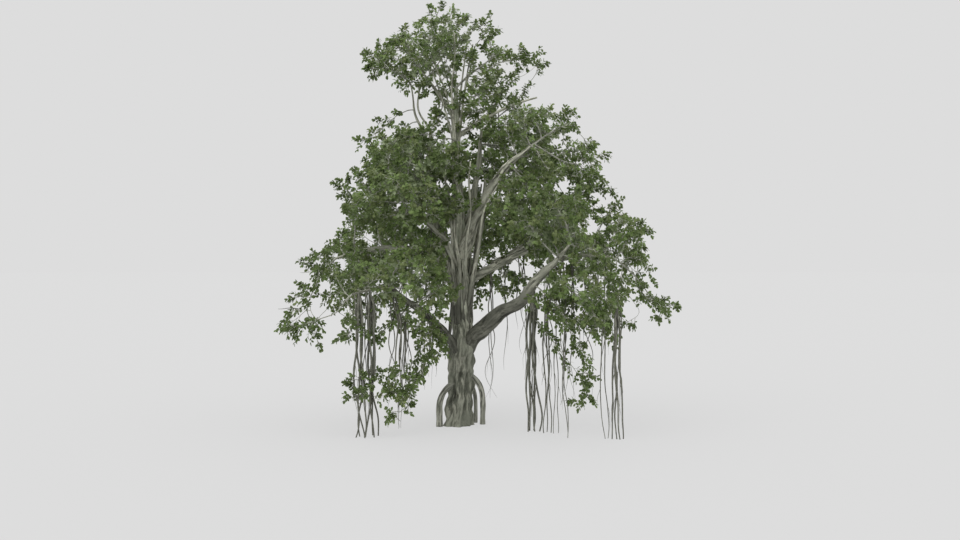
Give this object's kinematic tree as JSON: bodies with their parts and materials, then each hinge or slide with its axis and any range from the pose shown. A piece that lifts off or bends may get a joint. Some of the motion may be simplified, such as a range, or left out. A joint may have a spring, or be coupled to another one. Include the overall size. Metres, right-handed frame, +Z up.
{
  "type": "banyan tree",
  "caption": "Spreading banyan with a furrowed trunk on stilt roots, forked boughs, layered leaf masses and long hanging aerial roots.",
  "frame": {"origin": "middle of the flat cut under the trunk, at ground level", "axes": "+Z up along the trunk, +X to the right seen from the front, +Y to the back"},
  "size_m": [17.9567, 12.98, 19.9574],
  "materials": {
    "bark": "rough grey-brown furrowed bark with pale ridges",
    "aerial_root": "rough grey-brown root bark",
    "leaves": "leathery dark green leaves, some yellow-green"
  },
  "bodies": {
    "root": {"back_bough": "bark", "back_left_bough": "bark", "back_left_mass": "leaves", "back_mass": "leaves", "back_right_bough": "bark", "back_right_mass": "leaves", "back_upper_bough": "bark", "back_upper_left_mass": "leaves", "back_upper_right_mass": "leaves", "behind_trunk_mass": "leaves", "clasping_root": "bark", "far_left_bough": "bark", "far_left_mass": "leaves", "far_right_branch": "bark", "far_right_mass": "leaves", "far_right_tip_mass": "leaves", "hanging_mass_inner": "leaves", "hanging_mass_left": "leaves", "hanging_mass_near_trunk": "leaves", "hanging_root_far_1": "aerial_root", "hanging_root_far_2": "aerial_root", "hanging_root_far_3": "aerial_root", "hanging_root_inner_1": "aerial_root", "hanging_root_inner_2": "aerial_root", "hanging_root_left_1": "aerial_root", "hanging_root_left_2": "aerial_root", "hanging_root_right_1": "aerial_root", "hanging_root_right_2": "aerial_root", "hanging_root_right_3": "aerial_root", "hanging_root_right_4": "aerial_root", "left_hanging_branch": "bark", "left_inner_mass": "leaves", "left_leader": "bark", "left_low_mass": "leaves", "left_skirt_mass": "leaves", "low_left_bough": "bark", "low_right_bough": "bark", "mid_left_bough": "bark", "mid_left_mass": "leaves", "mid_right_bough": "bark", "mid_right_mass": "leaves", "right_leader": "bark", "right_low_mass": "leaves", "right_shoulder_mass": "leaves", "stilt_root_back": "bark", "stilt_root_left": "bark", "stilt_root_right": "bark", "top_left_branch": "bark", "top_left_mass": "leaves", "top_mass": "leaves", "top_right_branch": "bark", "top_right_mass": "leaves", "top_right_tip_mass": "leaves", "trunk": "bark", "under_top_mass": "leaves", "upper_left_branch": "bark", "upper_left_mass": "leaves", "upper_right_bough": "bark", "upper_right_mass": "leaves", "weeping_mass_right": "leaves"}
  },
  "joints": []
}
